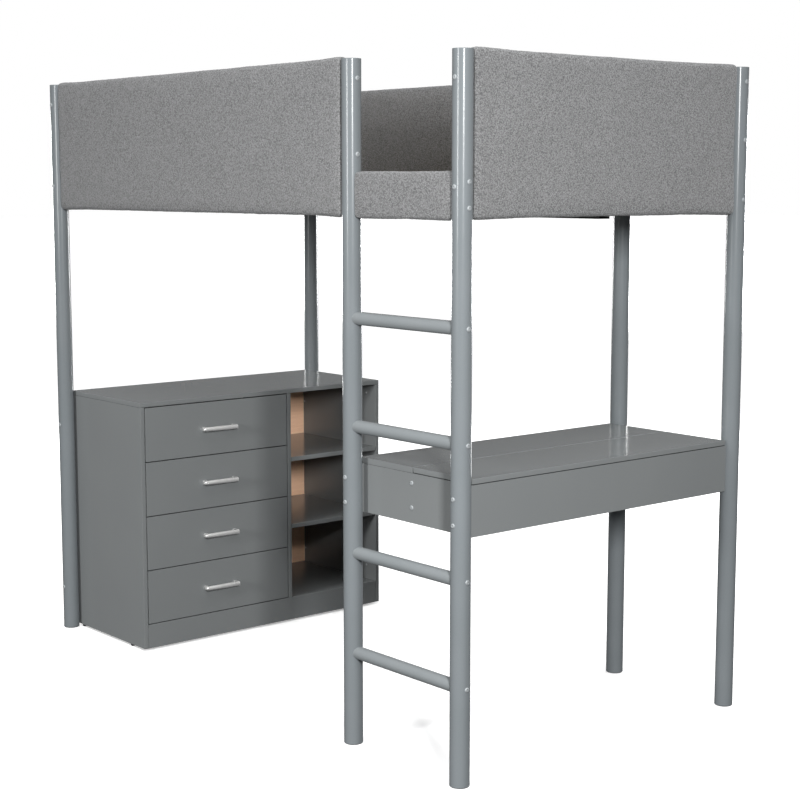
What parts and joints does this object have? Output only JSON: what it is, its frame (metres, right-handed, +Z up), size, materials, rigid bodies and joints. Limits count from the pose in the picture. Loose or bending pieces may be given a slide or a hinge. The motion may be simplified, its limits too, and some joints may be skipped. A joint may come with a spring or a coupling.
{
  "type": "loft bed with desk",
  "caption": "Raised single bed on round metal posts with padded guard panels, a ladder, a desk with a lift-up lid at one end and a drawer cabinet at the other.",
  "frame": {"origin": "on the floor, at the centre of the rectangle of outer posts", "axes": "+X along the bed from the cabinet to the desk, +Y towards the back, away from the ladder, +Z up"},
  "size_m": [2.045, 1.088, 1.836],
  "materials": {
    "frame_paint": "satin blue-grey powder coat",
    "fleece": "mid-grey heathered looped fleece",
    "board_paint": "satin dark grey lacquer on MDF",
    "raw_back": "light brown wood-grain foil",
    "pine": "planed, unfinished",
    "box_foil": "light grey foil",
    "aluminium": "satin",
    "zinc": "bright zinc plate",
    "black_steel": "matte black"
  },
  "bodies": {
    "frame": {"cabinet_back": "raw_back", "cabinet_bottom": "board_paint", "cabinet_divider": "board_paint", "cabinet_plinth": "board_paint", "cabinet_shelf_1": "board_paint", "cabinet_shelf_2": "board_paint", "cabinet_side_back": "board_paint", "cabinet_side_front": "board_paint", "cabinet_top": "board_paint", "centre_beam": "black_steel", "desk_apron_inner": "board_paint", "desk_apron_outer": "board_paint", "desk_compartment_floor": "box_foil", "desk_middle_board": "board_paint", "desk_side_back": "board_paint", "desk_side_front": "board_paint", "desk_top_fixed": "board_paint", "drawer_1_runner_back": "zinc", "drawer_1_runner_front": "zinc", "drawer_2_runner_back": "zinc", "drawer_2_runner_front": "zinc", "drawer_3_runner_back": "zinc", "drawer_3_runner_front": "zinc", "drawer_4_runner_back": "zinc", "drawer_4_runner_front": "zinc", "guard_back_long": "fleece", "guard_back_short": "fleece", "guard_cabinet_end": "fleece", "guard_desk_end": "fleece", "guard_entry": "fleece", "guard_front": "fleece", "hinge_leaf_fixed": "zinc", "hinge_pin": "zinc", "post_cabinet_back": "frame_paint", "post_cabinet_front": "frame_paint", "post_desk_back": "frame_paint", "post_desk_front": "frame_paint", "post_middle_back": "frame_paint", "post_middle_front": "frame_paint", "rung_1": "frame_paint", "rung_2": "frame_paint", "rung_3": "frame_paint", "rung_4": "frame_paint", "side_rail_back": "black_steel", "side_rail_front": "black_steel", "slat_roll": "pine"},
    "desk_lid": {"desk_lid": "board_paint", "hinge_leaf_lid": "zinc"},
    "drawer_1": {"drawer_1_front": "board_paint", "drawer_1_box": "box_foil", "drawer_1_handle": "aluminium"},
    "drawer_2": {"drawer_2_front": "board_paint", "drawer_2_box": "box_foil", "drawer_2_handle": "aluminium"},
    "drawer_3": {"drawer_3_front": "board_paint", "drawer_3_box": "box_foil", "drawer_3_handle": "aluminium"},
    "drawer_4": {"drawer_4_front": "board_paint", "drawer_4_box": "box_foil", "drawer_4_handle": "aluminium"}
  },
  "joints": [
    {"name": "desk_lid_hinge", "type": "hinge", "parent": "frame", "child": "desk_lid", "pos_m": [0.776, 0, 0.7823], "axis": [0, -1, 0], "range_deg": [0, 90]},
    {"name": "drawer_1_slide", "type": "slide", "parent": "frame", "child": "drawer_1", "axis": [1, 0, 0], "range_m": [0, 0.29]},
    {"name": "drawer_2_slide", "type": "slide", "parent": "frame", "child": "drawer_2", "axis": [1, 0, 0], "range_m": [0, 0.29]},
    {"name": "drawer_3_slide", "type": "slide", "parent": "frame", "child": "drawer_3", "axis": [1, 0, 0], "range_m": [0, 0.29]},
    {"name": "drawer_4_slide", "type": "slide", "parent": "frame", "child": "drawer_4", "axis": [1, 0, 0], "range_m": [0, 0.29]}
  ]
}
